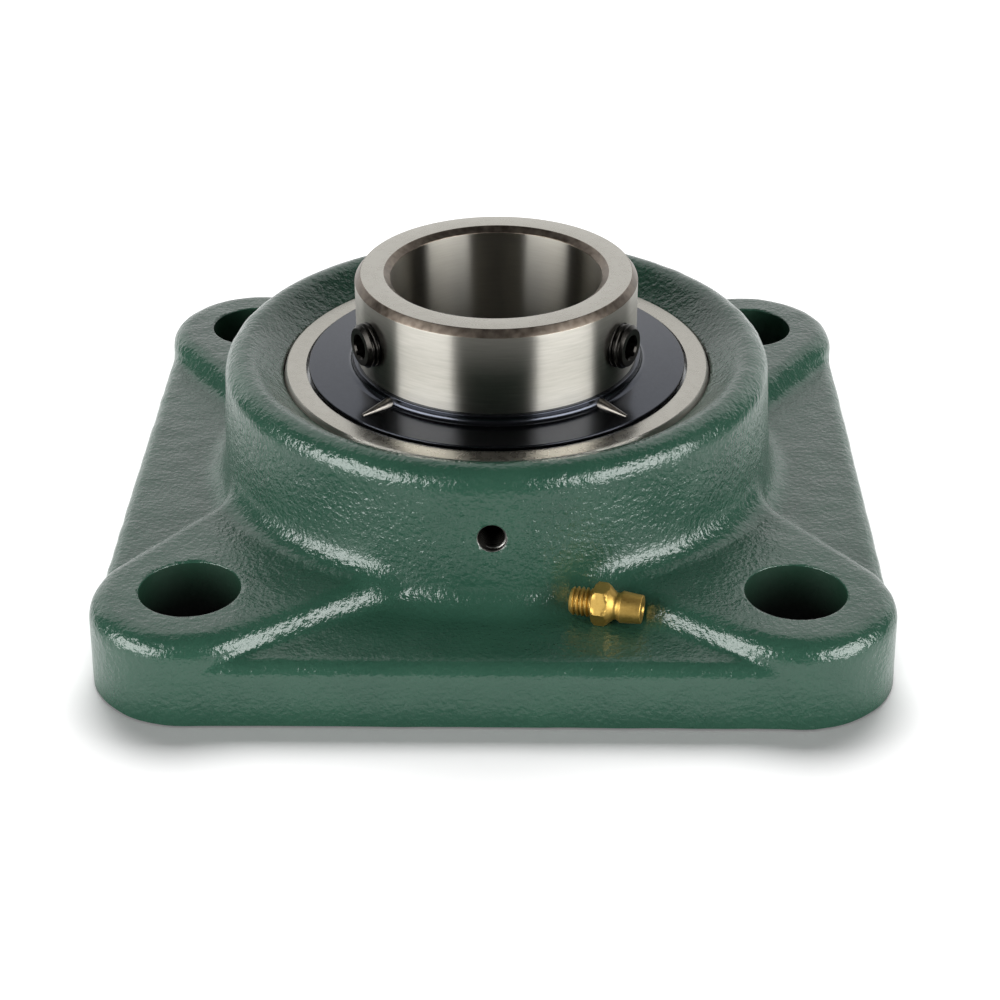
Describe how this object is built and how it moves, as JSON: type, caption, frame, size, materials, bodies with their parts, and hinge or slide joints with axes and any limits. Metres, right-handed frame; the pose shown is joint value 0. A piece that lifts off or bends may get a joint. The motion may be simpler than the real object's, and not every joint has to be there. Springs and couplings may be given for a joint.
{
  "type": "four-bolt flange bearing unit",
  "caption": "Square cast-iron flange housing with a self-aligning ball bearing insert, extended inner ring held on its shaft by set screws, and a loose brass grease nipple.",
  "frame": {"origin": "on the shaft axis, on the flange's mounting face", "axes": "+Z along the shaft axis, out of the face that carries the set screws; -Y towards the grease port"},
  "size_m": [0.137, 0.137, 0.0517],
  "materials": {
    "green_enamel": "green enamel over a sand casting",
    "ground_steel": "ground",
    "ball_steel": "polished",
    "cage_steel": "pressed",
    "seal_steel": "phosphated",
    "seal_rubber": "matt",
    "flinger_steel": "dark satin",
    "black_oxide": "black oxide",
    "brass": "turned"
  },
  "bodies": {
    "housing": {"housing": "green_enamel"},
    "insert": {"outer_ring": "ground_steel", "front_seal_plate": "seal_steel", "front_seal_lip": "seal_rubber", "rear_seal_plate": "seal_steel", "rear_seal_lip": "seal_rubber"},
    "inner": {"inner_ring": "ground_steel", "front_flinger": "flinger_steel", "rear_flinger": "flinger_steel"},
    "cage": {"cage_front": "cage_steel", "cage_rear": "cage_steel", "cage_rivets": "cage_steel"},
    "ball_1": {"ball_1": "ball_steel"},
    "ball_2": {"ball_2": "ball_steel"},
    "ball_3": {"ball_3": "ball_steel"},
    "ball_4": {"ball_4": "ball_steel"},
    "ball_5": {"ball_5": "ball_steel"},
    "ball_6": {"ball_6": "ball_steel"},
    "ball_7": {"ball_7": "ball_steel"},
    "ball_8": {"ball_8": "ball_steel"},
    "ball_9": {"ball_9": "ball_steel"},
    "left_screw": {"set_screw_left": "black_oxide"},
    "right_screw": {"set_screw_right": "black_oxide"},
    "nipple": {"nipple_body": "brass", "nipple_spring": "cage_steel"},
    "check_ball": {"nipple_check_ball": "ball_steel"}
  },
  "joints": [
    {"name": "insert_tilt", "type": "hinge", "parent": "housing", "child": "insert", "pos_m": [0, 0, 0.0232], "axis": [1, 0, 0], "range_deg": [-2, 2]},
    {"name": "shaft_spin", "type": "hinge", "parent": "insert", "child": "inner", "pos_m": [0, 0, 0.0232], "axis": [0, 0, 1], "continuous": true},
    {"name": "cage_spin", "type": "hinge", "parent": "insert", "child": "cage", "pos_m": [0, 0, 0.0232], "axis": [0, 0, 1], "continuous": true},
    {"name": "ball_1_spin", "type": "hinge", "parent": "cage", "child": "ball_1", "pos_m": [0, -0.02985, 0.0232], "axis": [0, 0, 1], "continuous": true},
    {"name": "ball_2_spin", "type": "hinge", "parent": "cage", "child": "ball_2", "pos_m": [0.01919, -0.02286, 0.0232], "axis": [0, 0, 1], "continuous": true},
    {"name": "ball_3_spin", "type": "hinge", "parent": "cage", "child": "ball_3", "pos_m": [0.0294, -0.00518, 0.0232], "axis": [0, 0, 1], "continuous": true},
    {"name": "ball_4_spin", "type": "hinge", "parent": "cage", "child": "ball_4", "pos_m": [0.02585, 0.01492, 0.0232], "axis": [0, 0, 1], "continuous": true},
    {"name": "ball_5_spin", "type": "hinge", "parent": "cage", "child": "ball_5", "pos_m": [0.01021, 0.02805, 0.0232], "axis": [0, 0, 1], "continuous": true},
    {"name": "ball_6_spin", "type": "hinge", "parent": "cage", "child": "ball_6", "pos_m": [-0.01021, 0.02805, 0.0232], "axis": [0, 0, 1], "continuous": true},
    {"name": "ball_7_spin", "type": "hinge", "parent": "cage", "child": "ball_7", "pos_m": [-0.02585, 0.01492, 0.0232], "axis": [0, 0, 1], "continuous": true},
    {"name": "ball_8_spin", "type": "hinge", "parent": "cage", "child": "ball_8", "pos_m": [-0.0294, -0.00518, 0.0232], "axis": [0, 0, 1], "continuous": true},
    {"name": "ball_9_spin", "type": "hinge", "parent": "cage", "child": "ball_9", "pos_m": [-0.01919, -0.02286, 0.0232], "axis": [0, 0, 1], "continuous": true},
    {"name": "left_screw_travel", "type": "slide", "parent": "inner", "child": "left_screw", "axis": [-0.866, -0.5, 0], "range_m": [-0.0006, 0.004]},
    {"name": "right_screw_travel", "type": "slide", "parent": "inner", "child": "right_screw", "axis": [0.866, -0.5, 0], "range_m": [-0.0006, 0.004]},
    {"name": "nipple_lift", "type": "slide", "parent": "housing", "child": "nipple", "axis": [0, 0, 1], "range_m": [0, 0.03]},
    {"name": "check_ball_push", "type": "slide", "parent": "nipple", "child": "check_ball", "axis": [-0.9703, 0.2419, 0], "range_m": [0, 0.0006], "stiffness_N_per_m": 200, "deforming": ["nipple_spring"]}
  ],
  "couplings": [
    {"joint": "cage_spin", "follows": "shaft_spin", "ratio": 0.40033},
    {"joint": "ball_1_spin", "follows": "shaft_spin", "ratio": -2.4086},
    {"joint": "ball_2_spin", "follows": "shaft_spin", "ratio": -2.4086},
    {"joint": "ball_3_spin", "follows": "shaft_spin", "ratio": -2.4086},
    {"joint": "ball_4_spin", "follows": "shaft_spin", "ratio": -2.4086},
    {"joint": "ball_5_spin", "follows": "shaft_spin", "ratio": -2.4086},
    {"joint": "ball_6_spin", "follows": "shaft_spin", "ratio": -2.4086},
    {"joint": "ball_7_spin", "follows": "shaft_spin", "ratio": -2.4086},
    {"joint": "ball_8_spin", "follows": "shaft_spin", "ratio": -2.4086},
    {"joint": "ball_9_spin", "follows": "shaft_spin", "ratio": -2.4086}
  ]
}
